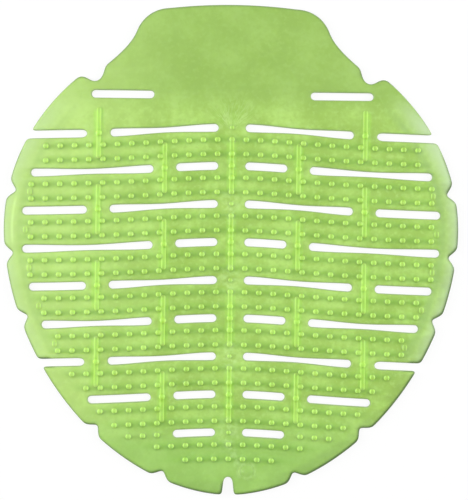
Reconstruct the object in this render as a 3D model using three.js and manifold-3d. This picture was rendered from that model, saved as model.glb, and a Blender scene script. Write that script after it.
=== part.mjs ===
// Urinal deodorizer screen: one flexible moulding in scented EVA, lying face up on its flat back.
// It is an egg-shaped body with a hand tab, rows of drain slots in a brick pattern and bands of
// splash-breaking pips between them.
import * as THREE from "three";
import { mergeGeometries, mergeVertices } from "three/addons/utils/BufferGeometryUtils.js";
import Module from "manifold-3d";

// Sizes are in millimetres: +X to the right, +Y up the face to the tab, +Z out of the face.
// The body: two half ovals that meet on the body's centre line, where it is widest.
const bodyWidth = 180;
const bodyRise = 81.5; // from the centre line up to where the upper oval would close
const bodyDrop = 105; // from the centre line down to the bottom edge
const upperOvalPower = 2;
const lowerOvalPower = 1.85; // under 2, so the lower half tapers more than an ellipse
const thickness = 2.5;
const edgeRound = 0.4; // chamfer round the face's edges and slots

// The tab that stands above the body.
const tabRise = 89; // from the centre line to the top edge's middle
const tabCrown = 1.5; // how much the top edge falls to its corners
const tabCornerRadius = 14;
const tabWidth = 78; // across the corner arcs
const tabFlankTurn = THREE.MathUtils.degToRad(20); // where the corner arc hands over to the flank
const neckWidth = 101; // where the flank meets the shoulder cut
const neckHeight = 64.3;
const neckSlope = THREE.MathUtils.degToRad(-40);
const shoulderAngle = THREE.MathUtils.degToRad(44.3); // the shoulder's lip, seen from the body's centre
const shoulderCutDepth = 1.6; // below the shoulder's lip
const shoulderCutSpan = 6.8; // from the lip in to the cut's deepest point
const lipEase = { in: 0.45, up: 0.9 }; // how the cut leaves its lip, as shares of its span and depth
const valleyEase = { out: 0.35, down: 0.2 }; // and how it comes to its deepest point
const throatBulge = 1; // how far the curve from there up to the neck bows out
const flankPull = 0.3; // share of the flank's length over which each end holds its direction

// The drain slots: rows on shallow arches, with webs between the slot ends.
const topRowHeight = 40.4; // first full row, above the centre line
const rowPitch = 15.08;
const rowCount = 9;
const archDrop = 4.9; // how far a row falls from its middle to far out
const archReach = 47; // distance from the middle at which half of that is reached
const slotWidth = 3.1;
const slotPinch = 1.1; // how much narrower a long slot is at its waist
const pinchedLength = 34; // slots longer than this have a waist
const shortestSlot = 14;
const slotRimMargin = 6.8; // from a slot's tip to the rim
const innerWebAt = 26.5; // webs beside the middle, on every other row
const outerWebAt = 52.7; // webs of the rows between
const webWidth = 9;
const middleWebWidth = 10.8;
const openRows = [0, 6]; // rows whose outer slots run out through the rim
const shoulderSlotLength = 24.8; // the level slot under each shoulder cut
const shoulderSlotReach = 1.4; // from the cut's deepest point out to the slot's tip
const shoulderSlotDrop = 4.9; // from that point down to the slot's line

// V notches round the rim, as angles from the body's centre, and the U notch at the bottom.
const notchAngles = [9.8, -6.7, -23.5, -56, -74.6].map(THREE.MathUtils.degToRad);
const notchWidth = 7.4;
const notchDepth = 3.3;
const notchRootRadius = 0.9;
const bottomNotchWidth = 3.6;
const bottomNotchMouth = 4.8;
const bottomNotchDepth = 7.4;

// Pips, in two lines along each band between slot rows.
const pipPitch = 5.66;
const pipWidth = 2.3;
const pipHeight = 1.3;
const pipLineGap = 5.7; // between the two lines of a band
const pipRimMargin = 7.2;
const pipFootMargin = 9.5; // from the rim to the pips under the last slot row

// Ribs across the webs, each with a stud on the slot row's line. A middle web without a rib has a
// smaller stud.
const ribWidth = 1.8;
const ribLength = 20.2;
const ribHeight = 0.7;
const studWidth = 2.5;
const studHeight = 1.6;
const webStudWidth = 1.8;
const webStudHeight = 1;
const sideRibLength = 3.4;
const sideRibRimMargin = 8.6;
const sideRibsFrom = 1; // first row with side ribs in the band below it
const rowsBelowSideRibs = 3;

// Round mark left by the ejector pin, near the bottom edge.
const ejectorMark = { x: 7.5, fromBottom: 9.6, width: 4.6, height: 0.25 };

const halfWidth = bodyWidth / 2;
const sink = 0.5; // how deep a raised feature starts inside the plate
const weldDistance = 1e-4; // corners closer than this are one
const searchSteps = 40; // halvings when a place on a curve is searched for

// How many straight pieces stand for each round form; a rim step is in degrees.
const round = {
  slotEnd: 4,
  slotSide: 6,
  notchRoot: 2,
  bottomNotchRoot: 3,
  shoulderCut: 4,
  throat: 3,
  flank: 5,
  corner: 6,
  crown: 3,
  rimStep: 5,
  rimChecks: 180,
  pip: 5,
  stud: 7,
  ribEnd: 3,
  ejectorMark: 16,
};

const wasm = await Module();
wasm.setup();

// How far a row has fallen below its middle at a distance x from it.
const archFall = (x) => (archDrop * x * x) / (x * x + archReach * archReach);
const rowHeight = (row) => topRowHeight - row * rowPitch;
const rowLine = (height) => (x) => height - archFall(x);

// The deepest point of the cut at the tab's foot.
function shoulderValley() {
  const lip = rimPoint(shoulderAngle);
  return new THREE.Vector2(lip.x - shoulderCutSpan, lip.y - shoulderCutDepth);
}

// A point on the body's oval rim, at an angle seen from the body's centre.
function rimPoint(angle) {
  const upper = Math.sin(angle) > 0;
  const power = upper ? upperOvalPower : lowerOvalPower;
  const reach = upper ? bodyRise : bodyDrop;
  const across = Math.abs(Math.cos(angle) / halfWidth) ** power;
  const along = Math.abs(Math.sin(angle) / reach) ** power;
  const radius = (across + along) ** (-1 / power);
  return new THREE.Vector2(Math.cos(angle) * radius, Math.sin(angle) * radius);
}

const rimSamples = Array.from({ length: round.rimChecks + 1 }, (_, i) =>
  rimPoint(Math.PI * (i / round.rimChecks - 0.5)),
);

// How far inside the rim a point lies; below zero outside it.
function rimGap(x, y) {
  const point = new THREE.Vector2(Math.abs(x), y);
  const gap = Math.min(...rimSamples.map((sample) => sample.distanceTo(point)));
  return point.length() < rimPoint(point.angle()).length() ? gap : -gap;
}

// The value between low and high at which test turns from true to false.
function turningPoint(low, high, test) {
  for (let i = 0; i < searchSteps; i++) {
    const middle = (low + high) / 2;
    if (test(middle)) low = middle;
    else high = middle;
  }
  return low;
}

const arcPoints = (x, y, radius, from, to, steps) =>
  Array.from({ length: steps + 1 }, (_, i) => {
    const angle = from + ((to - from) * i) / steps;
    return new THREE.Vector2(x + radius * Math.cos(angle), y + radius * Math.sin(angle));
  });

const slotEnd = (x, y, turn) => arcPoints(x, y, slotWidth / 2, turn, turn + Math.PI, round.slotEnd);

// A slot along a line from x = from to x = to, tip to tip. A long one narrows smoothly to its waist.
function slotPoints(line, from, to) {
  const radius = slotWidth / 2;
  const low = from + radius;
  const high = to - radius;
  const pinch = to - from > pinchedLength ? slotPinch / 2 : 0;
  const steps = pinch ? round.slotSide : 1;
  const edge = (side) =>
    Array.from({ length: steps - 1 }, (_, i) => {
      const share = (i + 1) / steps;
      const x = THREE.MathUtils.lerp(low, high, share);
      return new THREE.Vector2(x, line(x) + side * (radius - pinch * Math.sin(Math.PI * share) ** 2));
    });
  return [
    ...slotEnd(high, line(high), -Math.PI / 2),
    ...edge(1).reverse(),
    ...slotEnd(low, line(low), Math.PI / 2),
    ...edge(-1),
  ];
}

const mirrored = (points) => points.map((p) => new THREE.Vector2(-p.x, p.y)).reverse();

// The closed slots on the +X side of one row: [from, to] along the row.
function slotSpans(row) {
  const line = rowLine(rowHeight(row));
  const web = row % 2 === 1 || row === rowCount - 1 ? innerWebAt : outerWebAt;
  const spans = [[middleWebWidth / 2, web - webWidth / 2]];
  if (openRows.includes(row)) return spans;
  const from = web + webWidth / 2;
  const clear = (x) => rimGap(x - slotWidth / 2, line(x)) > slotRimMargin + slotWidth / 2;
  const to = turningPoint(from, halfWidth, clear);
  if (to - from > shortestSlot) spans.push([from, to]);
  return spans;
}

function slotOutlines() {
  const outlines = [];
  for (let row = 0; row < rowCount; row++) {
    const line = rowLine(rowHeight(row));
    for (const [from, to] of slotSpans(row)) outlines.push(slotPoints(line, from, to));
  }
  const valley = shoulderValley();
  const tip = valley.x + shoulderSlotReach;
  outlines.push(slotPoints(() => valley.y - shoulderSlotDrop, tip - shoulderSlotLength, tip));
  return outlines.flatMap((outline) => [outline, mirrored(outline)]);
}

// A V notch in the rim, from its lower lip to its upper lip, square to the chord between them.
function notchPoints(angle) {
  const turn = notchWidth / 2 / rimPoint(angle).length();
  const lips = [rimPoint(angle - turn), rimPoint(angle + turn)];
  const chord = lips[1].clone().sub(lips[0]);
  const heading = chord.angle();
  const root = lips[0].clone().add(lips[1]).multiplyScalar(0.5);
  root.add(new THREE.Vector2(-chord.y, chord.x).setLength(notchDepth - notchRootRadius));
  const rootArc = arcPoints(root.x, root.y, notchRootRadius, heading + Math.PI, heading, round.notchRoot);
  return { start: angle - turn, end: angle + turn, points: [lips[0], ...rootArc, lips[1]] };
}

// An outer slot that runs out through the rim, from its lower lip to its upper lip.
function openSlotPoints(row) {
  const line = rowLine(rowHeight(row));
  const lipAngle = (side) =>
    turningPoint(-Math.PI / 2, Math.PI / 2, (angle) => {
      const point = rimPoint(angle);
      return point.y < line(point.x) + (side * slotWidth) / 2;
    });
  const start = lipAngle(-1);
  const end = lipAngle(1);
  const inner = outerWebAt + webWidth / 2 + slotWidth / 2;
  const innerEnd = slotEnd(inner, line(inner), Math.PI / 2).reverse();
  return { start, end, points: [rimPoint(start), ...innerEnd, rimPoint(end)] };
}

// The U notch's +X half, from its root on the middle line out to its mouth.
function bottomNotchPoints() {
  const radius = bottomNotchWidth / 2;
  const rootHeight = bottomNotchDepth - bodyDrop - radius;
  const mouth = turningPoint(-Math.PI / 2, 0, (angle) => rimPoint(angle).x < bottomNotchMouth / 2);
  const rootArc = arcPoints(0, rootHeight, radius, Math.PI / 2, 0, round.bottomNotchRoot);
  return { start: -Math.PI / 2, end: mouth, points: [...rootArc, rimPoint(mouth)] };
}

// The shoulder cut, the tab's flared flank, its corner and its crowned top edge.
function tabPoints() {
  const lip = rimPoint(shoulderAngle);
  const neck = new THREE.Vector2(neckWidth / 2, neckHeight);
  const valley = shoulderValley();
  const cut = new THREE.CubicBezierCurve(
    lip,
    new THREE.Vector2(lip.x - shoulderCutSpan * lipEase.in, lip.y + shoulderCutDepth * lipEase.up),
    new THREE.Vector2(
      valley.x + shoulderCutSpan * valleyEase.out,
      valley.y - shoulderCutDepth * valleyEase.down,
    ),
    valley,
  );
  const throatTurn = new THREE.Vector2(neck.x + throatBulge, valley.y);
  const throat = new THREE.QuadraticBezierCurve(valley, throatTurn, neck);
  const corner = new THREE.Vector2(tabWidth / 2 - tabCornerRadius, tabRise - tabCrown - tabCornerRadius);
  const cornerArc = arcPoints(corner.x, corner.y, tabCornerRadius, tabFlankTurn, Math.PI / 2, round.corner);
  const flankTop = cornerArc[0];
  const flankReach = flankTop.distanceTo(neck) * flankPull;
  const flank = new THREE.CubicBezierCurve(
    neck,
    new THREE.Vector2(neck.x - Math.cos(neckSlope) * flankReach, neck.y - Math.sin(neckSlope) * flankReach),
    new THREE.Vector2(
      flankTop.x + Math.sin(tabFlankTurn) * flankReach,
      flankTop.y - Math.cos(tabFlankTurn) * flankReach,
    ),
    flankTop,
  );
  const crown = new THREE.QuadraticBezierCurve(
    cornerArc.at(-1),
    new THREE.Vector2(corner.x / 2, tabRise),
    new THREE.Vector2(0, tabRise),
  );
  return [
    ...cut.getPoints(round.shoulderCut).slice(0, -1),
    ...throat.getPoints(round.throat).slice(0, -1),
    ...flank.getPoints(round.flank).slice(0, -1),
    ...cornerArc.slice(0, -1),
    ...crown.getPoints(round.crown),
  ];
}

// Half of the plan outline, on the +X side, from the bottom notch round to the top of the tab.
function halfOutline() {
  const features = [
    bottomNotchPoints(),
    ...notchAngles.map(notchPoints),
    ...openRows.map(openSlotPoints),
  ].sort((a, b) => a.start - b.start);
  const points = [];
  features.forEach((feature, i) => {
    points.push(...feature.points);
    const next = i + 1 < features.length ? features[i + 1].start : shoulderAngle;
    const steps = Math.max(1, Math.round(THREE.MathUtils.radToDeg(next - feature.end) / round.rimStep));
    for (let step = 1; step < steps; step++) {
      points.push(rimPoint(THREE.MathUtils.lerp(feature.end, next, step / steps)));
    }
  });
  return [...points, ...tabPoints()];
}

// A closed three.js geometry as a solid.
function solidOf(geometry) {
  const plain = new THREE.BufferGeometry().setAttribute("position", geometry.getAttribute("position"));
  if (geometry.index) plain.setIndex(geometry.index);
  const merged = mergeVertices(plain.index ? plain.toNonIndexed() : plain, weldDistance);
  const mesh = new wasm.Mesh({
    numProp: 3,
    vertProperties: merged.attributes.position.array,
    triVerts: new Uint32Array(merged.index.array),
  });
  return new wasm.Manifold(mesh);
}

// The slotted plate: its face's edges are chamfered, and its back is cut off flat at z = 0.
function plateSolid() {
  const half = halfOutline();
  const shape = new THREE.Shape([...half, ...mirrored(half).slice(1, -1)]);
  shape.holes = slotOutlines().map((points) => new THREE.Path(points));
  const plate = new THREE.ExtrudeGeometry(shape, {
    depth: thickness - edgeRound,
    bevelEnabled: true,
    bevelSegments: 1,
    bevelSize: edgeRound,
    bevelThickness: edgeRound,
    bevelOffset: -edgeRound,
  });
  const below = new THREE.BoxGeometry(4 * bodyWidth, 4 * bodyWidth, 2 * thickness);
  below.translate(0, 0, -thickness);
  return solidOf(plate).subtract(solidOf(below));
}

// A pip or stud: a cone from inside the plate to its height above the face, as wide as stated at the face.
function pipGeometry(width, height, sides) {
  const spread = (width / 2) * (1 + sink / height);
  const cone = new THREE.ConeGeometry(spread, height + sink, sides);
  return cone.rotateX(Math.PI / 2).translate(0, 0, thickness + (height - sink) / 2);
}

// A bar with round ends, lying along Y.
function ribGeometry(length) {
  const radius = ribWidth / 2;
  const run = length / 2 - radius;
  const outline = [
    ...arcPoints(0, run, radius, 0, Math.PI, round.ribEnd),
    ...arcPoints(0, -run, radius, Math.PI, 2 * Math.PI, round.ribEnd),
  ];
  const bar = new THREE.ExtrudeGeometry(new THREE.Shape(outline), {
    depth: ribHeight + sink,
    bevelEnabled: false,
  });
  return bar.translate(0, 0, thickness - sink);
}

// Copies of one raised feature, at each of its places.
const placed = (geometry, places) =>
  mergeGeometries(places.map(([x, y]) => geometry.clone().translate(x, y, 0)));

// Where the ribs stand: over every web, and down the middle on the rows with inner webs.
function ribPlaces() {
  const places = [];
  for (let row = 0; row < rowCount - 1; row++) {
    const across = row % 2 === 1 ? [-innerWebAt, 0, innerWebAt] : [-outerWebAt, outerWebAt];
    for (const x of across) places.push([x, rowLine(rowHeight(row))(x)]);
  }
  return places;
}

// Studs: one on each rib's middle, and two more along each middle rib, on the lines of pips.
function studPlaces() {
  const places = ribPlaces();
  const offset = (rowPitch - pipLineGap) / 2;
  for (let row = 1; row < rowCount; row += 2) {
    places.push([0, rowHeight(row) + offset], [0, rowHeight(row) - offset]);
  }
  return places;
}

function webStudPlaces() {
  const places = [];
  for (let row = 0; row < rowCount; row += 2) places.push([0, rowHeight(row)]);
  return places;
}

// The heights, on the middle line, of every line of pips.
function pipLineHeights() {
  const heights = [];
  for (let row = 0; row < rowCount; row++) {
    const band = rowHeight(row) - rowPitch / 2;
    heights.push(band + pipLineGap / 2, band - pipLineGap / 2);
  }
  return heights;
}

// Pips stand on every line, and on the last row's own line outside its slots.
function pipPlaces() {
  const studs = [...studPlaces(), ...webStudPlaces()];
  const room = (pipWidth + studWidth) / 2;
  const clearOfStuds = (x, y) => studs.every(([sx, sy]) => Math.hypot(x - sx, y - sy) > room);
  const lastRow = rowHeight(rowCount - 1);
  const lastSlotTip = slotSpans(rowCount - 1).at(-1)[1];
  const places = [];
  for (const height of [...pipLineHeights(), lastRow]) {
    const margin = height < lastRow ? pipFootMargin : pipRimMargin;
    const count = Math.floor(halfWidth / pipPitch);
    for (let i = -count; i <= count; i++) {
      const x = i * pipPitch;
      const y = rowLine(height)(x);
      const onSlots = height === lastRow && Math.abs(x) < lastSlotTip + pipWidth;
      if (!onSlots && rimGap(x, y) > margin && clearOfStuds(x, y)) places.push([x, y]);
    }
  }
  return places;
}

// One short rib at each end of a band, just inside the rim.
function sideRibPlaces() {
  const places = [];
  for (let row = sideRibsFrom; row < rowCount - rowsBelowSideRibs; row++) {
    const line = rowLine(rowHeight(row) - rowPitch / 2);
    const x = turningPoint(outerWebAt, halfWidth, (at) => rimGap(at, line(at)) > sideRibRimMargin);
    for (const side of [-1, 1]) places.push([side * x, line(x)]);
  }
  return places;
}

function ejectorDisc() {
  const radius = ejectorMark.width / 2;
  const disc = new THREE.CylinderGeometry(radius, radius, ejectorMark.height + sink, round.ejectorMark);
  const middle = thickness + (ejectorMark.height - sink) / 2;
  return disc.rotateX(Math.PI / 2).translate(ejectorMark.x, ejectorMark.fromBottom - bodyDrop, middle);
}

function screenGeometry() {
  const raised = [
    placed(pipGeometry(pipWidth, pipHeight, round.pip), pipPlaces()),
    placed(ribGeometry(ribLength), ribPlaces()),
    placed(ribGeometry(sideRibLength), sideRibPlaces()),
    placed(pipGeometry(studWidth, studHeight, round.stud), studPlaces()),
    placed(pipGeometry(webStudWidth, webStudHeight, round.pip), webStudPlaces()),
    ejectorDisc(),
  ];
  const screen = raised.reduce((solid, geometry) => solid.add(solidOf(geometry)), plateSolid());
  const { vertProperties, triVerts } = screen.getMesh();
  const geometry = new THREE.BufferGeometry();
  geometry.setAttribute("position", new THREE.BufferAttribute(vertProperties, 3));
  geometry.setIndex(new THREE.BufferAttribute(triVerts, 1));
  geometry.computeVertexNormals();
  return geometry;
}

// Soft translucent EVA, lime green.
const scentedEva = new THREE.MeshStandardMaterial({
  color: 0xa7cd68,
  roughness: 0.38,
  metalness: 0,
  flatShading: true,
});

const screen = new THREE.Mesh(screenGeometry(), scentedEva);
screen.name = "screen";
screen.position.y = (bodyDrop - tabRise) / 2; // the origin is under the middle of the whole outline

const urinalScreen = new THREE.Group();
urinalScreen.add(screen);
export default urinalScreen;
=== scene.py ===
import math

import bmesh
import bpy
from mathutils import Matrix, Vector


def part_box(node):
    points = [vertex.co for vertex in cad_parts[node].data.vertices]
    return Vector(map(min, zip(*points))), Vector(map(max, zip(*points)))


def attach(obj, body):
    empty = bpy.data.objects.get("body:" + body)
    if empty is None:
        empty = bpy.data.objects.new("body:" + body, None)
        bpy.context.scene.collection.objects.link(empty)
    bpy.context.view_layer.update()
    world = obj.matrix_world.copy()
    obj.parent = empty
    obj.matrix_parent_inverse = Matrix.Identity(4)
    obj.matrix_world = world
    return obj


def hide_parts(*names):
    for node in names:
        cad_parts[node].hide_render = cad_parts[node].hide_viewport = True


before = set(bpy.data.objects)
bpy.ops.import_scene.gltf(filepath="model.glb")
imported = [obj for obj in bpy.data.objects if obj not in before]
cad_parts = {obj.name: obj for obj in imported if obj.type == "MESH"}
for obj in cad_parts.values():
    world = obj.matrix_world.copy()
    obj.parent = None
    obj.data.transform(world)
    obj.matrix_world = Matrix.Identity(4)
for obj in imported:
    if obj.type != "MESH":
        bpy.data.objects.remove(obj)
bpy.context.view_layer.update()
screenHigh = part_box("screen")[1]
print("frame loaded")

mm = 0.001  # everything below is worked out in millimetres and scaled once, when a mesh is finished
weldDistance = 0.002  # points closer than this are one
fineWeld = 0.001


# The moulding's outline, slots and raised features, in millimetres from the body's centre
body = {
    "halfWide": screenHigh.x / mm,
    "centreUp": 8.0,  # the body's centre line above the origin
    "rise": 81.5,
    "drop": 105.0,
    "upperPower": 2.0,
    "lowerPower": 1.85,
    "thickness": 2.5,
    "edgeRound": 0.5,
    "pointSpacing": 0.75,
    "softenings": 3,
}
tab = {
    "rise": 89.0,
    "crown": 1.5,
    "cornerRadius": 14.0,
    "wide": 78.0,
    "flankTurn": math.radians(20),
    "neck": Vector((50.5, 64.3)),
    "neckSlope": math.radians(-40),
    "shoulderAngle": math.radians(44.3),
    "cutDepth": 1.6,
    "cutSpan": 6.8,
    "lipEase": Vector((0.45, 0.9)),  # shares of the cut's span and depth
    "valleyEase": Vector((0.35, 0.2)),
    "throatBulge": 1.0,
    "flankPull": 0.3,
}
slots = {
    "topRow": 40.4,
    "pitch": 15.08,
    "rows": 9,
    "archDrop": 4.9,
    "archReach": 47.0,
    "wide": 3.1,
    "pinch": 1.1,
    "pinchedLength": 34.0,
    "shortest": 14.0,
    "rimMargin": 6.8,
    "innerWeb": 26.5,
    "outerWeb": 52.7,
    "webWide": 9.0,
    "middleWeb": 10.8,
    "openRows": (0, 6),
    "shoulderLength": 24.8,
    "shoulderReach": 1.4,
    "shoulderDrop": 4.9,
}
notches = {
    "angles": [math.radians(a) for a in (9.8, -6.7, -23.5, -56.0, -74.6)],
    "wide": 7.4,
    "depth": 3.3,
    "rootRadius": 0.9,
    "bottomWide": 3.6,
    "bottomMouth": 4.8,
    "bottomDepth": 7.4,
}
steps = {  # straight pieces in each curve
    "slotEnd": 10,
    "slotSide": 16,
    "notchRoot": 6,
    "shoulderLip": 12,
    "throat": 8,
    "flank": 20,
    "tabCorner": 20,
    "crown": 16,
    "search": 40,
}


def archFall(x):
    return slots["archDrop"] * x * x / (x * x + slots["archReach"] ** 2)


def rowHeight(row):
    return slots["topRow"] - row * slots["pitch"]


def onRow(height, x):
    return Vector((x, height - archFall(x)))


def rimPoint(angle):
    upper = math.sin(angle) > 0
    power = body["upperPower"] if upper else body["lowerPower"]
    reach = body["rise"] if upper else body["drop"]
    across = abs(math.cos(angle) / body["halfWide"]) ** power
    along = abs(math.sin(angle) / reach) ** power
    radius = (across + along) ** (-1 / power)
    return Vector((math.cos(angle) * radius, math.sin(angle) * radius))


rimSamples = [rimPoint(math.radians(a / 2 - 90)) for a in range(361)]  # each half degree of one side


def rimGap(point):
    folded = Vector((abs(point.x), point.y))
    gap = min((sample - folded).length for sample in rimSamples)
    inside = folded.length < rimPoint(math.atan2(folded.y, folded.x)).length
    return gap if inside else -gap


def turningPoint(low, high, test):
    # where the test stops holding, by halving
    for _ in range(steps["search"]):
        middle = (low + high) / 2
        if test(middle):
            low = middle
        else:
            high = middle
    return low


def arcPoints(centre, radius, start, end, count):
    points = []
    for i in range(count + 1):
        angle = start + (end - start) * i / count
        points.append(centre + Vector((math.cos(angle), math.sin(angle))) * radius)
    return points


def bezierPoints(a, b, c, d, count):
    points = []
    for i in range(count):
        t = i / count
        u = 1 - t
        points.append(a * u ** 3 + b * 3 * u * u * t + c * 3 * u * t * t + d * t ** 3)
    return points


def mirrored(points):
    return [Vector((-p.x, p.y)) for p in reversed(points)]


def slotEnd(centre, turn):
    return arcPoints(centre, slots["wide"] / 2, turn, turn + math.pi, steps["slotEnd"])


def slotPoints(line, start, end):
    radius = slots["wide"] / 2
    low = start + radius
    high = end - radius
    pinch = slots["pinch"] / 2 if end - start > slots["pinchedLength"] else 0
    sides = {1: [], -1: []}
    for side in sides:
        for i in range(1, steps["slotSide"]):
            share = i / steps["slotSide"]
            x = low + (high - low) * share
            half = radius - pinch * math.sin(math.pi * share) ** 2
            sides[side].append(line(x) + Vector((0, side * half)))
    right = slotEnd(line(high), -math.pi / 2)
    left = slotEnd(line(low), math.pi / 2)
    return right + sides[1][::-1] + left + sides[-1]


def shoulderValley():
    lip = rimPoint(tab["shoulderAngle"])
    return lip - Vector((tab["cutSpan"], tab["cutDepth"]))


def slotSpans(row):
    inner = row % 2 == 1 or row == slots["rows"] - 1
    web = slots["innerWeb"] if inner else slots["outerWeb"]
    spans = [(slots["middleWeb"] / 2, web - slots["webWide"] / 2)]
    if row in slots["openRows"]:
        return spans
    start = web + slots["webWide"] / 2
    half = slots["wide"] / 2
    height = rowHeight(row)

    def clear(x):
        return rimGap(onRow(height, x) - Vector((half, 0))) > slots["rimMargin"] + half

    end = turningPoint(start, body["halfWide"], clear)
    if end - start > slots["shortest"]:
        spans.append((start, end))
    return spans


def slotOutlines():
    outlines = []
    for row in range(slots["rows"]):
        height = rowHeight(row)
        for start, end in slotSpans(row):
            outlines.append(slotPoints(lambda x: onRow(height, x), start, end))
    valley = shoulderValley()
    tip = valley.x + slots["shoulderReach"]
    level = valley.y - slots["shoulderDrop"]
    outlines.append(slotPoints(lambda x: Vector((x, level)), tip - slots["shoulderLength"], tip))
    return outlines + [mirrored(o) for o in outlines]


def notchPoints(angle):
    turn = notches["wide"] / 2 / rimPoint(angle).length
    lips = (rimPoint(angle - turn), rimPoint(angle + turn))
    chord = lips[1] - lips[0]
    heading = math.atan2(chord.y, chord.x)
    square = Vector((-chord.y, chord.x)).normalized()
    root = (lips[0] + lips[1]) / 2 + square * (notches["depth"] - notches["rootRadius"])
    rootArc = arcPoints(root, notches["rootRadius"], heading + math.pi, heading, steps["notchRoot"])
    return angle - turn, angle + turn, [lips[0], *rootArc, lips[1]]


def openSlotPoints(row):
    height = rowHeight(row)

    def lipAngle(side):
        def below(angle):
            point = rimPoint(angle)
            return point.y < onRow(height, point.x).y + side * slots["wide"] / 2
        return turningPoint(-math.pi / 2, math.pi / 2, below)

    start, end = lipAngle(-1), lipAngle(1)
    inner = slots["outerWeb"] + slots["webWide"] / 2 + slots["wide"] / 2
    innerEnd = slotEnd(onRow(height, inner), math.pi / 2)[::-1]
    return start, end, [rimPoint(start), *innerEnd, rimPoint(end)]


def bottomNotchPoints():
    radius = notches["bottomWide"] / 2
    root = Vector((0, notches["bottomDepth"] - body["drop"] - radius))
    mouth = turningPoint(-math.pi / 2, 0, lambda a: rimPoint(a).x < notches["bottomMouth"] / 2)
    rootArc = arcPoints(root, radius, math.pi / 2, 0, steps["notchRoot"])
    return -math.pi / 2, mouth, [*rootArc, rimPoint(mouth)]


parabola = 2 / 3  # how far towards one shared point a cubic curve's two handles lie to make it a parabola


def headed(angle):
    return Vector((math.cos(angle), math.sin(angle)))


def tabPoints():
    # from the right shoulder's lip, over the cut and up the flank, to the middle of the tab's top
    lip = rimPoint(tab["shoulderAngle"])
    neck = tab["neck"]
    valley = shoulderValley()
    cut = Vector((tab["cutSpan"], tab["cutDepth"]))
    radius = tab["cornerRadius"]
    corner = Vector((tab["wide"] / 2 - radius, tab["rise"] - tab["crown"] - radius))
    cornerArc = arcPoints(corner, radius, tab["flankTurn"], math.pi / 2, steps["tabCorner"])
    reach = (cornerArc[0] - neck).length * tab["flankPull"]
    neckPull = headed(tab["neckSlope"]) * reach
    topPull = headed(tab["flankTurn"] - math.pi / 2) * reach
    lipPull = cut * tab["lipEase"] * Vector((-1, 1))
    valleyPull = cut * tab["valleyEase"] * Vector((1, -1))
    throatTurn = Vector((neck.x + tab["throatBulge"], valley.y))
    crown = Vector((corner.x / 2, tab["rise"]))
    top = Vector((0, tab["rise"]))
    return [
        *bezierPoints(lip, lip + lipPull, valley + valleyPull, valley, steps["shoulderLip"]),
        *bezierPoints(valley, valley.lerp(throatTurn, parabola), neck.lerp(throatTurn, parabola), neck,
                      steps["throat"]),
        *bezierPoints(neck, neck - neckPull, cornerArc[0] + topPull, cornerArc[0], steps["flank"]),
        *cornerArc[:-1],
        *bezierPoints(cornerArc[-1], cornerArc[-1].lerp(crown, parabola), top.lerp(crown, parabola), top,
                      steps["crown"]),
        top,
    ]


def halfOutline():
    features = [bottomNotchPoints()]
    features += [notchPoints(a) for a in notches["angles"]]
    features += [openSlotPoints(row) for row in slots["openRows"]]
    features.sort(key=lambda f: f[0])
    points = []
    for i, (start, end, cut) in enumerate(features):
        points += cut
        following = features[i + 1][0] if i + 1 < len(features) else tab["shoulderAngle"]
        count = max(1, round(math.degrees(following - end)))  # a point for each degree
        points += [rimPoint(end + (following - end) * k / count) for k in range(1, count)]
    return points + tabPoints()


def softened(points):
    # evenly spaced points round the loop, then averaged so that the moulding's corners are rounded
    spacing = body["pointSpacing"]
    loop = points + points[:1]
    even = []
    carried = 0.0
    for a, b in zip(loop, loop[1:]):
        length = (b - a).length
        while carried < length:
            even.append(a.lerp(b, carried / length))
            carried += spacing
        carried -= length
    for _ in range(body["softenings"]):
        count = len(even)
        even = [(even[i - 1] + even[i] * 2 + even[(i + 1) % count]) / 4 for i in range(count)]
    return even


def makePlate():
    # a flat filled curve with round edges, made a mesh
    half = halfOutline()
    loops = [softened(half + mirrored(half)[1:-1]), *slotOutlines()]
    curve = bpy.data.curves.new("plateCurve", "CURVE")
    curve.dimensions = "2D"
    curve.fill_mode = "BOTH"
    curve.extrude = body["thickness"] / 2 - body["edgeRound"]
    curve.bevel_depth = body["edgeRound"]
    curve.bevel_resolution = 2
    curve.offset = -body["edgeRound"]
    for loop in loops:
        spline = curve.splines.new("POLY")
        spline.points.add(len(loop) - 1)
        for point, place in zip(spline.points, loop):
            point.co = (place.x, place.y, 0, 1)
        spline.use_cyclic_u = True
    maker = bpy.data.objects.new("plateMaker", curve)
    mesh = bpy.data.meshes.new_from_object(maker)
    bpy.data.objects.remove(maker)
    bm = bmesh.new()
    bm.from_mesh(mesh)
    bmesh.ops.remove_doubles(bm, verts=bm.verts, dist=weldDistance)
    bmesh.ops.recalc_face_normals(bm, faces=bm.faces)
    bmesh.ops.translate(bm, verts=bm.verts, vec=(0, body["centreUp"], body["thickness"] / 2))
    bm.to_mesh(mesh)
    bm.free()
    return mesh


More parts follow.
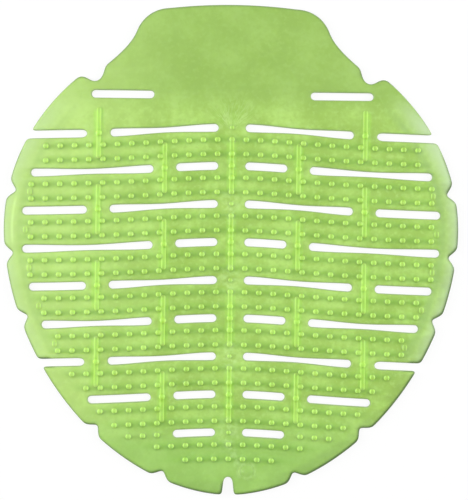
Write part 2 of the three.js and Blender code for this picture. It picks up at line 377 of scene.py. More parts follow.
# Raised features, in millimetres above the plate's face
pips = {
    "pitch": 5.66,
    "radius": 1.15,
    "height": 1.3,
    "dimple": 0.16,
    "sides": 10,
    "lineGap": 5.7,
    "rimMargin": 7.2,
    "footMargin": 9.5,
}
studs = {"radius": 1.25, "height": 1.6, "dimple": 0.15, "sides": 14}
webStuds = {"radius": 0.9, "height": 1.0, "dimple": 0.1, "sides": 10}
postSkirt = 0.05  # a post's wall is upright this far above the face
postShoulder = [(0.88, 0.55), (0.66, 0.92), (0.42, 1.0)]  # then shares of its radius and height
ribs = {
    "wide": 1.8,
    "length": 20.2,
    "height": 0.7,
    "edgeRound": 0.3,
    "grooveIn": 0.2,
    "groove": 0.15,
    "sides": 16,
    "sideLength": 2.6,
    "sideMargin": 8.6,
    "sideFrom": 1,  # the first row with side ribs under it
    "rowsBelowSide": 3,
}
ejector = {
    "x": 7.5,
    "fromBottom": 9.6,
    "radius": 2.1,
    "height": 0.25,
    "edge": 0.15,
    "ring": 3.0,
    "ringWide": 0.5,
    "ringFoot": 0.04,
    "discWall": 0.6,  # shares of the mark's height
    "ringTop": 0.8,
    "sides": 32,
}
sunk = 0.6  # how deep every raised feature starts inside the plate


def turned(profiles, sides):
    # profiles of distance and height, spun round the upright axis
    bm = bmesh.new()
    for profile in profiles:
        verts = [bm.verts.new((x, 0, z)) for x, z in profile]
        segments = [bm.edges.new(pair) for pair in zip(verts, verts[1:])]
        bmesh.ops.spin(bm, geom=verts + segments, cent=(0, 0, 0), axis=(0, 0, 1), angle=2 * math.pi,
                       steps=sides, use_merge=True)
    bmesh.ops.remove_doubles(bm, verts=bm.verts, dist=fineWeld)
    bmesh.ops.recalc_face_normals(bm, faces=bm.faces)
    return bm


def makePip(settings):
    # a post with a rounded shoulder and a slight dimple on top
    r, h = settings["radius"], settings["height"]
    shoulder = [(r * across, h * up) for across, up in postShoulder]
    profile = [(0, -sunk), (r, -sunk), (r, postSkirt), *shoulder, (0, h - settings["dimple"])]
    return turned([profile], settings["sides"])


def makeRib(length):
    # a bar with round ends, a rounded top edge and a shallow groove along its top
    radius = ribs["wide"] / 2
    bm = bmesh.new()
    bmesh.ops.create_circle(bm, cap_ends=True, radius=radius, segments=ribs["sides"],
                            matrix=Matrix.Rotation(math.pi / ribs["sides"], 4, "Z"))
    for vert in bm.verts:
        vert.co.y += math.copysign(length / 2 - radius, vert.co.y)
        vert.co.z = -sunk
    raised = bmesh.ops.extrude_face_region(bm, geom=bm.faces[:])["geom"]
    top = [v for v in raised if isinstance(v, bmesh.types.BMVert)]
    bmesh.ops.translate(bm, verts=top, vec=(0, 0, ribs["height"] + sunk))
    topFace = [f for f in raised if isinstance(f, bmesh.types.BMFace)]
    bmesh.ops.bevel(bm, geom=topFace[0].edges[:], affect="EDGES", offset=ribs["edgeRound"], segments=2,
                    profile=0.5, material=-1)
    bm.normal_update()
    cap = max(bm.faces, key=lambda f: f.calc_area() * (f.calc_center_median().z > 0))
    bmesh.ops.inset_region(bm, faces=[cap], thickness=ribs["grooveIn"], depth=-ribs["groove"])
    bmesh.ops.recalc_face_normals(bm, faces=bm.faces)
    return bm


def makeEjectorMark():
    # the pin's round witness mark: a low disc inside a low ring
    r, h, edge = ejector["radius"], ejector["height"], ejector["edge"]
    inner, wide, foot = ejector["ring"], ejector["ringWide"], ejector["ringFoot"]
    disc = [(0, -sunk), (r, -sunk), (r, h * ejector["discWall"]), (r - edge, h), (0, h)]
    ring = [(inner, -sunk), (inner + wide, -sunk), (inner + wide, foot),
            (inner + wide / 2, h * ejector["ringTop"]), (inner, foot), (inner, -sunk)]
    return turned([disc, ring], ejector["sides"])


def ribPlaces():
    places = []
    for row in range(slots["rows"] - 1):
        inner = (-slots["innerWeb"], 0, slots["innerWeb"])
        outer = (-slots["outerWeb"], slots["outerWeb"])
        for x in inner if row % 2 == 1 else outer:
            places.append(onRow(rowHeight(row), x))
    return places


def studPlaces():
    reach = (slots["pitch"] - pips["lineGap"]) / 2
    places = ribPlaces()
    for row in range(1, slots["rows"], 2):
        places += [Vector((0, rowHeight(row) + side * reach)) for side in (-1, 1)]
    return places


def webStudPlaces():
    return [Vector((0, rowHeight(row))) for row in range(0, slots["rows"], 2)]


def pipPlaces():
    studSpots = studPlaces() + webStudPlaces()
    lines = []
    for row in range(slots["rows"]):
        band = rowHeight(row) - slots["pitch"] / 2
        lines += [band + pips["lineGap"] / 2, band - pips["lineGap"] / 2]
    lastRow = rowHeight(slots["rows"] - 1)
    lastTip = slotSpans(slots["rows"] - 1)[-1][1]
    count = int(body["halfWide"] / pips["pitch"])
    places = []
    for height in [*lines, lastRow]:
        margin = pips["footMargin"] if height < lastRow else pips["rimMargin"]
        for i in range(-count, count + 1):
            place = onRow(height, i * pips["pitch"])
            if height == lastRow and abs(place.x) < lastTip + 2 * pips["radius"]:
                continue
            room = pips["radius"] + studs["radius"]
            if rimGap(place) > margin and all((place - s).length > room for s in studSpots):
                places.append(place)
    return places


def sideRibPlaces():
    places = []
    for row in range(ribs["sideFrom"], slots["rows"] - ribs["rowsBelowSide"]):
        band = rowHeight(row) - slots["pitch"] / 2
        x = turningPoint(slots["outerWeb"], body["halfWide"],
                         lambda at: rimGap(onRow(band, at)) > ribs["sideMargin"])
        places += [Vector((side * x, onRow(band, x).y)) for side in (-1, 1)]
    return places


def unionOf(mesh, features, name):
    # joins raised features to the mesh as one closed skin
    base = bpy.data.objects.new(name, mesh)
    bpy.context.collection.objects.link(base)
    for bm, places in features:
        single = bpy.data.meshes.new("single")
        bm.to_mesh(single)
        bm.free()
        whole = bmesh.new()
        for place in places:
            copy = single.copy()
            copy.transform(Matrix.Translation((place.x, place.y + body["centreUp"], body["thickness"])))
            whole.from_mesh(copy)
            bpy.data.meshes.remove(copy)
        added = bpy.data.meshes.new("added")
        whole.to_mesh(added)
        whole.free()
        cutter = bpy.data.objects.new("cutter", added)
        bpy.context.collection.objects.link(cutter)
        union = base.modifiers.new("union", "BOOLEAN")
        union.operation = "UNION"
        union.solver = "MANIFOLD"
        union.object = cutter
        bpy.context.view_layer.update()
        graph = bpy.context.evaluated_depsgraph_get()
        joined = bpy.data.meshes.new_from_object(base.evaluated_get(graph))
        base.modifiers.clear()
        base.data = joined
        bpy.data.objects.remove(cutter)
    return base


plateMesh = makePlate()
print("plate made:", len(plateMesh.polygons), "faces")
raised = [
    (makeRib(ribs["length"]), ribPlaces()),
    (makeRib(ribs["sideLength"]), sideRibPlaces()),
    (makePip(studs), studPlaces()),
    (makePip(webStuds), webStudPlaces()),
    (makePip(pips), pipPlaces()),
    (makeEjectorMark(), [Vector((ejector["x"], ejector["fromBottom"] - body["drop"]))]),
]
screen = unionOf(plateMesh, raised, "screenMoulding")
print("pips, studs and ribs joined:", len(screen.data.polygons), "faces")


levelLimit = 0.999  # a face whose normal is more upright than this is flat
sharpAngle = math.radians(50)


def finishMesh(piece):
    # to metres, with the flat faces flat and everything else smooth
    mesh = piece.data
    bm = bmesh.new()
    bm.from_mesh(mesh)
    bmesh.ops.remove_doubles(bm, verts=bm.verts, dist=weldDistance)
    bmesh.ops.dissolve_degenerate(bm, edges=bm.edges, dist=fineWeld)
    bmesh.ops.scale(bm, verts=bm.verts, vec=(mm, mm, mm))
    bm.normal_update()
    for face in bm.faces:
        face.smooth = abs(face.normal.z) < levelLimit
    bm.to_mesh(mesh)
    bm.free()
    mesh.set_sharp_from_angle(angle=sharpAngle)


finishMesh(screen)
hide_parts("screen")
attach(screen, "root")


# Materials
def linear(hexColour):
    channels = [int(hexColour[i:i + 2], 16) / 255 for i in (0, 2, 4)]
    return [c / 12.92 if c <= 0.04045 else ((c + 0.055) / 1.055) ** 2.4 for c in channels] + [1.0]


def addNode(tree, kind, settings=None, inputs=None):
    # adds a node; an input is a value, a socket, or a node whose first output in use is linked
    node = tree.nodes.new(kind)
    for name, value in (settings or {}).items():
        setattr(node, name, value)
    for socket, value in (inputs or {}).items():
        if isinstance(value, bpy.types.Node):
            value = next(output for output in value.outputs if output.enabled)
        if isinstance(value, bpy.types.NodeSocket):
            tree.links.new(value, node.inputs[socket])
        else:
            node.inputs[socket].default_value = value
    return node


def newMaterial(name):
    material = bpy.data.materials.new(name)
    material.use_nodes = True
    material.node_tree.nodes.clear()
    return material


# Soft EVA from a satin tool, slightly translucent; the glow of raised walls and the paler rim are painted
# into its colour as light, and shade is painted along the lines of pips and the edges
eva = {
    "shade": "9ec060",  # where the melt is thicker
    "plain": "aed271",
    "pale": "bcde84",
    "tabShade": "92b45e",
    # painted light: the left side is washed lighter and yellower, as if lit more from the left
    "leftSideLight": "c0de8a",
    "footTint": "98c46a",
    # the rim's pale band is partly its own paler tone and partly painted sheen; the dark line at its inner
    # edge is painted shade, and the glint is a painted highlight
    "rimPaleAndSheen": "bdd6a4",
    "rimStepShade": "9cbe76",
    "rimGlint": "d4f0a0",
    # painted shadow along the lines of pips, and the dark flow lines' own tone
    "pipShadowAndDarkFlow": "88bc4e",
    "bloom": "c6e2a0",  # whitish mottling and flow lines
    # painted light: the glow on raised walls that face the side lamps
    "paintedWallGlow": "ccfa80",
    # painted glow round the ribs and on raised tops
    "ribGlow": "b2e85c",
    # painted shade on the rounded top edge of every cut
    "cutEdgeShade": "9cb67c",
    # painted shade on the outline's rounded edge, darkest towards the lower right
    "turnedEdgeShade": "769458",
    "downRightEdgeShade": "4c6638",
    "mottle": 14.0,  # millimetres across the large cloudy patches
    "grain": 2.2,  # millimetres across the fine ones; the real grain is too fine to show
    "noiseRoughness": 0.6,
    "leastRough": 0.3,
    "mostRough": 0.44,
    "bumpStrength": 0.12,
    "bumpHeight": 0.4,
    "scatterDepth": 0.8,
    "scatterColours": (1.0, 1.0, 0.5),  # yellow and green light goes further in than blue
}
smooth = {"interpolation_type": "SMOOTHSTEP"}

# Each pair in a mask's dictionary is where the mask starts and where it is full; lengths are millimetres
stripes = {
    "most": 0.45,
    "halfWide": 0.18,  # in rows' pitches
    "firstRow": (0.05, 0.2),
    "inRim": (0.97, 0.87),  # shares of the way out from the centre
    "up": (0.5, 0.05),
}


def rowsDown(tree, x, y):
    # how many rows below the top one a point lies, along the rows' arch
    squared = addNode(tree, "ShaderNodeMath", {"operation": "MULTIPLY"}, {0: x, 1: x})
    beyond = addNode(tree, "ShaderNodeMath", {"operation": "ADD"}, {
        0: squared, 1: slots["archReach"] ** 2})
    share = addNode(tree, "ShaderNodeMath", {"operation": "DIVIDE"}, {0: squared, 1: beyond})
    level = addNode(tree, "ShaderNodeMath", {"operation": "MULTIPLY_ADD"}, {
        0: share, 1: slots["archDrop"], 2: y})
    return addNode(tree, "ShaderNodeMapRange", {"clamp": False}, {
        "Value": level, "From Min": slots["topRow"], "From Max": slots["topRow"] - slots["pitch"]})


def shadowAlongPips(tree, rows, outward, z):
    # painted shadow: the soft darker stripe along each line of pips, where the side lamps' shadows fall
    # between them, partly also the thicker melt's deeper green
    wave = addNode(tree, "ShaderNodeMath", {"operation": "PINGPONG"}, {0: rows, 1: 0.5})
    lineAt = 0.5 - pips["lineGap"] / 2 / slots["pitch"]
    top = body["thickness"]
    share = stripes["most"]
    for value, start, full in (
            (outward, *stripes["inRim"]),
            (z, top + stripes["up"][0], top + stripes["up"][1]),
            (rows, *stripes["firstRow"]),
            (wave, lineAt - stripes["halfWide"], lineAt),
            (wave, lineAt + stripes["halfWide"], lineAt)):
        share = addNode(tree, "ShaderNodeMapRange", smooth, {
            "Value": value, "From Min": start, "From Max": full, "To Max": share})
    return share


ribLight = {
    "most": 0.5,
    "sideways": (2.6, 0.8),
    "beyondColumns": (6.0, 3.0),
    "rowShare": (0.32, 0.45),  # in rows' pitches
}


def glowOfRibs(tree, fromMiddle, rows):
    # painted glow: lime round each rib, as if it caught the light; the outer columns' ribs are on even
    # rows, the inner columns' on odd ones
    outer = addNode(tree, "ShaderNodeMath", {"operation": "GREATER_THAN"}, {
        0: fromMiddle, 1: (slots["innerWeb"] + slots["outerWeb"]) / 2})
    shifted = addNode(tree, "ShaderNodeMath", {"operation": "ADD"}, {0: rows, 1: outer})
    held = addNode(tree, "ShaderNodeClamp", None, {"Value": shifted, "Max": slots["rows"] - 1.0})
    along = addNode(tree, "ShaderNodeMath", {"operation": "PINGPONG"}, {0: held, 1: 1.0})
    across = addNode(tree, "ShaderNodeMath", {"operation": "PINGPONG"}, {
        0: fromMiddle, 1: slots["innerWeb"] / 2})
    share = ribLight["most"]
    for value, start, full in (
            (fromMiddle, *[slots["outerWeb"] + reach for reach in ribLight["beyondColumns"]]),
            (across, *ribLight["sideways"]),
            (along, *ribLight["rowShare"])):
        share = addNode(tree, "ShaderNodeMapRange", smooth, {
            "Value": value, "From Min": start, "From Max": full, "To Max": share})
    return share


trail = {
    "most": 0.32,
    "turn": math.radians(-24),  # the trail leans to one side
    "leftOfPin": 2.5,
    "sideways": (2.4, 0.5),
    "foot": (-4.0, 0.0),
    "head": (17.0, 10.0),
    "offRing": (1.1, 0.2),
    "grainShare": (0.36, 0.6),
}


def ejectorTrail(tree, x, y, grain):
    # pale mottling where the melt ran past the ejector pin: on the mark's ring, and up its left side
    right = addNode(tree, "ShaderNodeMath", {"operation": "SUBTRACT"}, {0: x, 1: ejector["x"]})
    up = addNode(tree, "ShaderNodeMath", {"operation": "ADD"}, {
        0: y, 1: body["drop"] - ejector["fromBottom"]})
    fromPin = addNode(tree, "ShaderNodeCombineXYZ", None, {0: right, 1: up})
    away = addNode(tree, "ShaderNodeVectorMath", {"operation": "LENGTH"}, {0: fromPin})
    offRing = addNode(tree, "ShaderNodeMath", {"operation": "SUBTRACT"}, {
        0: away.outputs["Value"], 1: ejector["ring"]})
    offRing = addNode(tree, "ShaderNodeMath", {"operation": "ABSOLUTE"}, {0: offRing})
    ring = addNode(tree, "ShaderNodeMapRange", smooth, {
        "Value": offRing, "From Min": trail["offRing"][0], "From Max": trail["offRing"][1],
        "To Max": trail["most"]})
    leaned = addNode(tree, "ShaderNodeVectorRotate", {"rotation_type": "Z_AXIS"}, {
        "Vector": fromPin, "Angle": trail["turn"]})
    across, along, _ = addNode(tree, "ShaderNodeSeparateXYZ", None, {0: leaned}).outputs
    off = addNode(tree, "ShaderNodeMath", {"operation": "ADD"}, {0: across, 1: trail["leftOfPin"]})
    off = addNode(tree, "ShaderNodeMath", {"operation": "ABSOLUTE"}, {0: off})
    strip = trail["most"]
    for value, reach in ((off, "sideways"), (along, "foot"), (along, "head")):
        strip = addNode(tree, "ShaderNodeMapRange", smooth, {
            "Value": value, "From Min": trail[reach][0], "From Max": trail[reach][1], "To Max": strip})
    either = addNode(tree, "ShaderNodeMath", {"operation": "MAXIMUM"}, {0: ring, 1: strip})
    return addNode(tree, "ShaderNodeMapRange", smooth, {
        "Value": grain, "From Min": trail["grainShare"][0], "From Max": trail["grainShare"][1],
        "To Max": either})


def outwardShare(tree, x, y):
    # 0 at the body's centre, 1 on its oval rim
    upper = addNode(tree, "ShaderNodeMath", {"operation": "GREATER_THAN"}, {0: y, 1: 0.0})
    reach = addNode(tree, "ShaderNodeMapRange", None, {
        "Value": upper, "To Min": body["drop"], "To Max": body["rise"]})
    shares = []
    for part, whole in ((x, body["halfWide"]), (y, reach)):
        share = addNode(tree, "ShaderNodeMath", {"operation": "DIVIDE"}, {0: part, 1: whole})
        share = addNode(tree, "ShaderNodeMath", {"operation": "ABSOLUTE"}, {0: share})
        shares.append(addNode(tree, "ShaderNodeMath", {"operation": "POWER"}, {
            0: share, 1: body["lowerPower"]}))
    total = addNode(tree, "ShaderNodeMath", {"operation": "ADD"}, {0: shares[0], 1: shares[1]})
    return addNode(tree, "ShaderNodeMath", {"operation": "POWER"}, {0: total, 1: 1 / body["lowerPower"]})


fan = {
    "most": 0.4,
    "aboveGate": 1.0,
    "away": (16.0, 3.0),
    "sideways": (1.3, 0.7),  # radians from straight up
    "spokes": (13.0, 0.22, 1.0),  # strands to a radian, and to a millimetre outwards
    "paleAt": (0.5, 0.6),
    "darkAt": (0.5, 0.38),
}


def flowFan(tree, x, y):
    # fine flow lines that spread upwards from the gate on the top row: the pale ones and the dark ones
    up = addNode(tree, "ShaderNodeMath", {"operation": "SUBTRACT"}, {
        0: y, 1: slots["topRow"] - fan["aboveGate"]})
    turn = addNode(tree, "ShaderNodeMath", {"operation": "ARCTAN2"}, {0: x, 1: up})
    spoke = addNode(tree, "ShaderNodeCombineXYZ", None, {0: x, 1: up})
    away = addNode(tree, "ShaderNodeVectorMath", {"operation": "LENGTH"}, {0: spoke})
    polar = addNode(tree, "ShaderNodeCombineXYZ", None, {0: turn, 1: away})
    lines = addNode(tree, "ShaderNodeMapping", None, {"Vector": polar, "Scale": fan["spokes"]})
    streaks = addNode(tree, "ShaderNodeTexNoise", None, {
        "Vector": lines, "Scale": 1.0, "Detail": 4.0, "Distortion": 1.5})
    sideways = addNode(tree, "ShaderNodeMath", {"operation": "ABSOLUTE"}, {0: turn})
    within = fan["most"]
    for value, reach in ((away, "away"), (sideways, "sideways")):
        within = addNode(tree, "ShaderNodeMapRange", smooth, {
            "Value": value, "From Min": fan[reach][0], "From Max": fan[reach][1], "To Max": within})
    return [addNode(tree, "ShaderNodeMapRange", smooth, {
        "Value": streaks, "From Min": fan[tone][0], "From Max": fan[tone][1], "To Max": within})
        for tone in ("paleAt", "darkAt")]


bloom = {
    "most": 0.36,
    "squash": 1.3,  # makes each patch 2 / 1.3 times as tall as it is wide
    "underTop": (5.0, 12.0),
    "away": (6.0, 1.0),
    "grainShare": (0.36, 0.66),
}


def centreBloom(tree, x, y, grain):
    # whitish mottling on the centre column, where the melt met on every other row
    rows = addNode(tree, "ShaderNodeMapRange", {"clamp": False}, {
        "Value": y, "From Min": slots["topRow"], "From Max": slots["topRow"] - 2 * slots["pitch"]})
    wave = addNode(tree, "ShaderNodeMath", {"operation": "PINGPONG"}, {0: rows, 1: 0.5})
    offRow = addNode(tree, "ShaderNodeMath", {"operation": "MULTIPLY"}, {
        0: wave, 1: bloom["squash"] * slots["pitch"]})
    spoke = addNode(tree, "ShaderNodeCombineXYZ", None, {0: x, 1: offRow})
    away = addNode(tree, "ShaderNodeVectorMath", {"operation": "LENGTH"}, {0: spoke})
    share = bloom["most"]
    for value, start, full in (
            (y, *[slots["topRow"] - down for down in bloom["underTop"]]),
            (away, *bloom["away"]),
            (grain, *bloom["grainShare"])):
        share = addNode(tree, "ShaderNodeMapRange", smooth, {
            "Value": value, "From Min": start, "From Max": full, "To Max": share})
    return share


rim = {
    "bandWide": 6.0,
    "leftMost": 0.45,
    "rightMost": 0.95,
    "middle": 40.0,  # the band's strength changes from left to right within this of the centre
    "fromMiddle": (52.0, 68.0),
    "top": (56.0, 40.0),
    "foot": (-60.0, -42.0),
    "lineMost": 0.6,
    "lineInner": 0.04,  # shares of the way out from the centre
    "lineOuter": 0.02,
    "glintMost": 0.5,
    "glintIn": 3.3,
    "glintHalf": 0.01,  # a share too
    "glintLeft": (-60.0, -78.0),
    "glintFoot": (-9.0, -3.0),
    "glintTop": (14.0, 9.0),
}


def rimMasks(tree, x, y, fromMiddle, outward):
    # the rim down each side is paler, more so on the right: partly the thinner rim's own tone, partly a
    # painted sheen, with a painted shade line along the band's inner edge and a painted glint line on the
    # left
    bandAt = 1 - rim["bandWide"] / body["halfWide"]
    sides = addNode(tree, "ShaderNodeMapRange", None, {
        "Value": x, "From Min": -rim["middle"], "From Max": rim["middle"],
        "To Min": rim["leftMost"], "To Max": rim["rightMost"]})
    for value, reach in ((fromMiddle, "fromMiddle"), (y, "top"), (y, "foot")):
        sides = addNode(tree, "ShaderNodeMapRange", smooth, {
            "Value": value, "From Min": rim[reach][0], "From Max": rim[reach][1], "To Max": sides})
    band = addNode(tree, "ShaderNodeMapRange", None, {
        "Value": outward, "From Min": bandAt, "From Max": 1.0, "To Max": sides})
    line = addNode(tree, "ShaderNodeMath", {"operation": "MULTIPLY"}, {0: sides, 1: rim["lineMost"]})
    for start in (bandAt - rim["lineInner"], bandAt + rim["lineOuter"]):
        line = addNode(tree, "ShaderNodeMapRange", smooth, {
            "Value": outward, "From Min": start, "From Max": bandAt, "To Max": line})
    glintAt = 1 - rim["glintIn"] / body["halfWide"]
    glint = rim["glintMost"]
    for value, start, full in (
            (x, *rim["glintLeft"]),
            (y, *rim["glintFoot"]),
            (y, *rim["glintTop"]),
            (outward, glintAt - rim["glintHalf"], glintAt),
            (outward, glintAt + rim["glintHalf"], glintAt)):
        glint = addNode(tree, "ShaderNodeMapRange", smooth, {
            "Value": value, "From Min": start, "From Max": full, "To Max": glint})
    return band, line, glint


edges = {
    "wallMost": 0.8,
    "wallUp": (0.02, 0.3),  # heights are from the plate's face
    "wallSideways": (0.2, 0.75),
    "topMost": 0.35,
    "topUp": (0.3, 0.9),
    "cutUp": (-0.9, -0.4),
    "cutUnder": (0.02, -0.01),
    "cutLean": (0.995, 0.8),
    "softness": 1.8,  # how far in from an edge the light starts to turn
    "samples": 8,
    "darkSide": (0.6, -0.75, 0.0),  # the way that the edge with the darkest painted shade faces
    "rimShare": (0.94, 0.965),
    "rimTop": (34.0, 28.0),
    "tabFoot": (55.0, 60.0),
    "outlineMost": 0.85,
    "outlineUnder": (0.2, 0.02),
    "outlineUp": (-1.4, -0.5),
    "darkLean": (0.04, 0.4),
    "softLean": (0.97, 0.75),
}


def wallMasks(tree, z, facing):
    # painted light and shade: raised walls that face left or right get a painted glow, as if lit from the
    # sides through the translucent melt, raised tops a little painted glow, and cut edges a painted grey
    # green shade
    sideways = addNode(tree, "ShaderNodeMath", {"operation": "ABSOLUTE"}, {0: facing["X"]})
    upright = addNode(tree, "ShaderNodeMath", {"operation": "ABSOLUTE"}, {0: facing["Z"]})
    height = addNode(tree, "ShaderNodeMath", {"operation": "SUBTRACT"}, {0: z, 1: body["thickness"]})
    masks = []
    for most, limits in (
            (edges["wallMost"], ((height, "wallUp"), (sideways, "wallSideways"))),
            (edges["topMost"], ((height, "topUp"),)),
            (1.0, ((height, "cutUp"), (height, "cutUnder"), (upright, "cutLean")))):
        share = most
        for value, reach in limits:
            share = addNode(tree, "ShaderNodeMapRange", smooth, {
                "Value": value, "From Min": edges[reach][0], "From Max": edges[reach][1], "To Max": share})
        masks.append(share)
    return masks


def outlineMasks(tree, y, z, outward, rounded):
    # painted shade: the outline's rounded edge is painted darker, and darkest where it turns down and to
    # the right
    onRim = 1.0
    for value, reach in ((outward, "rimShare"), (y, "rimTop")):
        onRim = addNode(tree, "ShaderNodeMapRange", smooth, {
            "Value": value, "From Min": edges[reach][0], "From Max": edges[reach][1], "To Max": onRim})
    onTab = addNode(tree, "ShaderNodeMapRange", smooth, {
        "Value": y, "From Min": edges["tabFoot"][0], "From Max": edges["tabFoot"][1]})
    outline = addNode(tree, "ShaderNodeMath", {"operation": "MAXIMUM"}, {0: onRim, 1: onTab})
    outline = addNode(tree, "ShaderNodeMath", {"operation": "MULTIPLY"}, {
        0: outline, 1: edges["outlineMost"]})
    height = addNode(tree, "ShaderNodeMath", {"operation": "SUBTRACT"}, {0: z, 1: body["thickness"]})
    for reach in ("outlineUnder", "outlineUp"):
        outline = addNode(tree, "ShaderNodeMapRange", smooth, {
            "Value": height, "From Min": edges[reach][0], "From Max": edges[reach][1], "To Max": outline})
    lean = addNode(tree, "ShaderNodeVectorMath", {"operation": "DOT_PRODUCT"}, {
        0: rounded, 1: edges["darkSide"]})
    level = addNode(tree, "ShaderNodeSeparateXYZ", None, {0: rounded}).outputs["Z"]
    return [addNode(tree, "ShaderNodeMapRange", None, {
        "Value": value, "From Min": edges[reach][0], "From Max": edges[reach][1], "To Max": outline})
        for value, reach in ((level, "softLean"), (lean.outputs["Value"], "darkLean"))]


def makeEva():
    material = newMaterial("mouldedEva")
    tree = material.node_tree
    coords = addNode(tree, "ShaderNodeTexCoord")
    place = addNode(tree, "ShaderNodeMapping", None, {
        "Vector": coords.outputs["Object"], "Location": (0, -body["centreUp"], 0),
        "Scale": (1 / mm, 1 / mm, 1 / mm)})
    x, y, z = addNode(tree, "ShaderNodeSeparateXYZ", None, {0: place}).outputs
    facing = addNode(tree, "ShaderNodeSeparateXYZ", None, {0: coords.outputs["Normal"]}).outputs
    cloud = addNode(tree, "ShaderNodeTexNoise", None, {
        "Vector": place, "Scale": 1 / eva["mottle"], "Detail": 4.0, "Roughness": eva["noiseRoughness"]})
    grain = addNode(tree, "ShaderNodeTexNoise", None, {
        "Vector": place, "Scale": 1 / eva["grain"], "Detail": 3.0, "Roughness": eva["noiseRoughness"]})
    rounded = addNode(tree, "ShaderNodeBevel", {"samples": edges["samples"]}, {
        "Radius": edges["softness"] * mm})
    fromMiddle = addNode(tree, "ShaderNodeMath", {"operation": "ABSOLUTE"}, {0: x})
    outward = outwardShare(tree, x, y)
    rows = rowsDown(tree, x, y)
    rimPaleAndSheen, rimStepShade, rimGlint = rimMasks(tree, x, y, fromMiddle, outward)
    paintedWallGlow, paintedTopGlow, cutEdgeShade = wallMasks(tree, z, facing)
    softEdgeShade, downRightEdgeShade = outlineMasks(tree, y, z, outward, rounded)
    paleFlow, darkFlow = flowFan(tree, x, y)

    fades = [  # value, where its wash starts, where it is full, how strong it gets, and its colour
        (cloud, 0.5, 0.8, 0.5, "pale"),
        (grain, 0.48, 0.72, 0.42, "pale"),
        (grain, 0.5, 0.3, 0.5, "shade"),
        (y, 44.0, 56.0, 0.55, "tabShade"),
        # the wash towards the left is painted light, as if lit more from the left
        (x, -15.0, -80.0, 0.6, "leftSideLight"),
        (y, -65.0, -92.0, 0.6, "footTint"),
    ]
    washes = [(addNode(tree, "ShaderNodeMapRange", smooth, {
        "Value": value, "From Min": start, "From Max": full, "To Max": most}), name)
        for value, start, full, most, name in fades]
    washes += [
        (shadowAlongPips(tree, rows, outward, z), "pipShadowAndDarkFlow"),
        (paleFlow, "bloom"),
        (darkFlow, "pipShadowAndDarkFlow"),
        (centreBloom(tree, x, y, grain), "bloom"),
        (ejectorTrail(tree, x, y, grain), "bloom"),
        (rimPaleAndSheen, "rimPaleAndSheen"),
        (rimStepShade, "rimStepShade"),
        (rimGlint, "rimGlint"),
        (glowOfRibs(tree, fromMiddle, rows), "ribGlow"),
        (paintedTopGlow, "ribGlow"),
        (paintedWallGlow, "paintedWallGlow"),
        (cutEdgeShade, "cutEdgeShade"),
        (softEdgeShade, "turnedEdgeShade"),
        (downRightEdgeShade, "downRightEdgeShade"),
    ]
    base = addNode(tree, "ShaderNodeMapRange", smooth, {
        "Value": cloud, "From Min": 0.35, "From Max": 0.65})
    colour = addNode(tree, "ShaderNodeMix", {"data_type": "RGBA"}, {
        0: base, 6: linear(eva["shade"]), 7: linear(eva["plain"])})
    for share, name in washes:
        colour = addNode(tree, "ShaderNodeMix", {"data_type": "RGBA"}, {
            0: share, 6: colour, 7: linear(eva[name])})

    roughness = addNode(tree, "ShaderNodeMapRange", None, {
        "Value": cloud, "From Min": 0.2, "From Max": 0.8,
        "To Min": eva["leastRough"], "To Max": eva["mostRough"]})
    unevenness = addNode(tree, "ShaderNodeMath", {"operation": "ADD"}, {0: cloud, 1: grain})
    bump = addNode(tree, "ShaderNodeBump", None, {
        "Strength": eva["bumpStrength"], "Distance": eva["bumpHeight"] * mm, "Height": unevenness,
        "Normal": rounded})
    shader = addNode(tree, "ShaderNodeBsdfPrincipled", None, {
        "Base Color": colour, "Roughness": roughness, "IOR": 1.48, "Specular IOR Level": 0.3,
        "Normal": bump, "Subsurface Weight": 0.8, "Subsurface Radius": eva["scatterColours"],
        "Subsurface Scale": eva["scatterDepth"] * mm})
    addNode(tree, "ShaderNodeOutputMaterial", None, {"Surface": shader})
    return material


mouldedEva = makeEva()
screen.data.materials.clear()
screen.data.materials.append(mouldedEva)
print("materials made")


# Floor, light and camera
view = {
    "pixelsPerMm": 2.528,  # scale of the photograph
    "imageWide": 468,
    "lookAt": Vector((1.3, 0.0)),  # what lies at the middle of the image
    "distance": 0.6,
    "roll": math.radians(0.7),  # the moulding leans a little to the right
}
studio = {
    "floorSize": 3,
    "floorDrop": 0.05,  # millimetres under the moulding's back
    "paper": (0.88, 0.88, 0.88, 1),
    "white": (1, 1, 1, 1),
    "shownWhite": 0.9,  # how far the camera sees the paper as plain white
    "fill": 0.34,
    "lampSize": (0.4, 0.8),
}
lamps = {  # place in metres, and power
    "leftLamp": ((-0.7, 0.1, 0.5), 7.0),
    "rightLamp": ((0.7, 0.1, 0.5), 6.2),
}


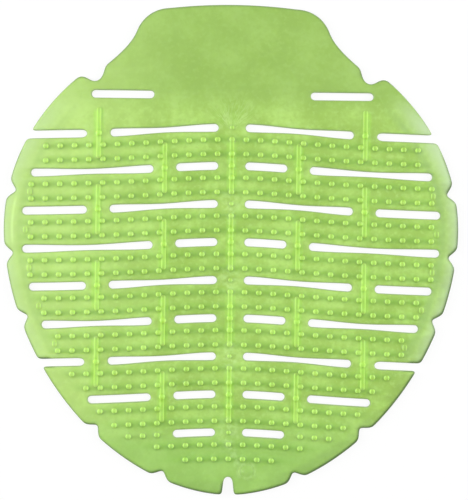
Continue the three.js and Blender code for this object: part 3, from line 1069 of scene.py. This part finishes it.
def makeFloor():
    bm = bmesh.new()
    bmesh.ops.create_grid(bm, x_segments=1, y_segments=1, size=studio["floorSize"],
                          matrix=Matrix.Translation((0, 0, -studio["floorDrop"] * mm)))
    mesh = bpy.data.meshes.new("floor")
    bm.to_mesh(mesh)
    bm.free()
    floor = bpy.data.objects.new("floor", mesh)
    bpy.context.collection.objects.link(floor)
    paper = newMaterial("whitePaper")
    tree = paper.node_tree
    diffuse = addNode(tree, "ShaderNodeBsdfDiffuse", None, {"Color": studio["paper"]})
    glow = addNode(tree, "ShaderNodeEmission", None, {"Color": studio["white"], "Strength": 1.0})
    rays = addNode(tree, "ShaderNodeLightPath").outputs
    seen = rays["Is Camera Ray"]
    for kind in ("Is Glossy Ray", "Is Transmission Ray"):
        seen = addNode(tree, "ShaderNodeMath", {"operation": "MAXIMUM"}, {0: seen, 1: rays[kind]})
    share = addNode(tree, "ShaderNodeMath", {"operation": "MULTIPLY"}, {0: seen, 1: studio["shownWhite"]})
    mix = addNode(tree, "ShaderNodeMixShader", None, {0: share, 1: diffuse, 2: glow})
    addNode(tree, "ShaderNodeOutputMaterial", None, {"Surface": mix})
    mesh.materials.append(paper)


def makeWorld():
    world = bpy.data.worlds.new("paleRoom")
    bpy.context.scene.world = world
    world.use_nodes = True
    tree = world.node_tree
    tree.nodes.clear()
    rays = addNode(tree, "ShaderNodeLightPath").outputs
    fill, backdrop = [
        addNode(tree, "ShaderNodeBackground", None, {"Color": studio["white"], "Strength": strength})
        for strength in (studio["fill"], 1.0)]
    mix = addNode(tree, "ShaderNodeMixShader", None, {0: rays["Is Camera Ray"], 1: fill, 2: backdrop})
    addNode(tree, "ShaderNodeOutputWorld", None, {"Surface": mix})


def makeLamp(name, place, power):
    light = bpy.data.lights.new(name, "AREA")
    light.shape = "RECTANGLE"
    light.size, light.size_y = studio["lampSize"]
    light.energy = power
    lamp = bpy.data.objects.new(name, light)
    lamp.location = place
    lamp.rotation_euler = (-Vector(place)).to_track_quat("-Z", "Y").to_euler()
    bpy.context.collection.objects.link(lamp)


def makeCamera():
    camera = bpy.data.cameras.new("camera")
    camera.sensor_fit = "HORIZONTAL"
    camera.sensor_width = 36.0
    shown = view["imageWide"] / view["pixelsPerMm"] * mm
    camera.lens = camera.sensor_width * view["distance"] / shown
    holder = bpy.data.objects.new("camera", camera)
    top = body["thickness"] * mm
    holder.location = (view["lookAt"].x * mm, view["lookAt"].y * mm, view["distance"] + top)
    holder.rotation_euler = (0, 0, view["roll"])
    bpy.context.collection.objects.link(holder)
    bpy.context.scene.camera = holder


makeFloor()
makeWorld()
for name, (place, power) in lamps.items():
    makeLamp(name, place, power)
makeCamera()
bpy.context.scene.view_settings.view_transform = "Standard"
print("floor, lamps and camera placed")
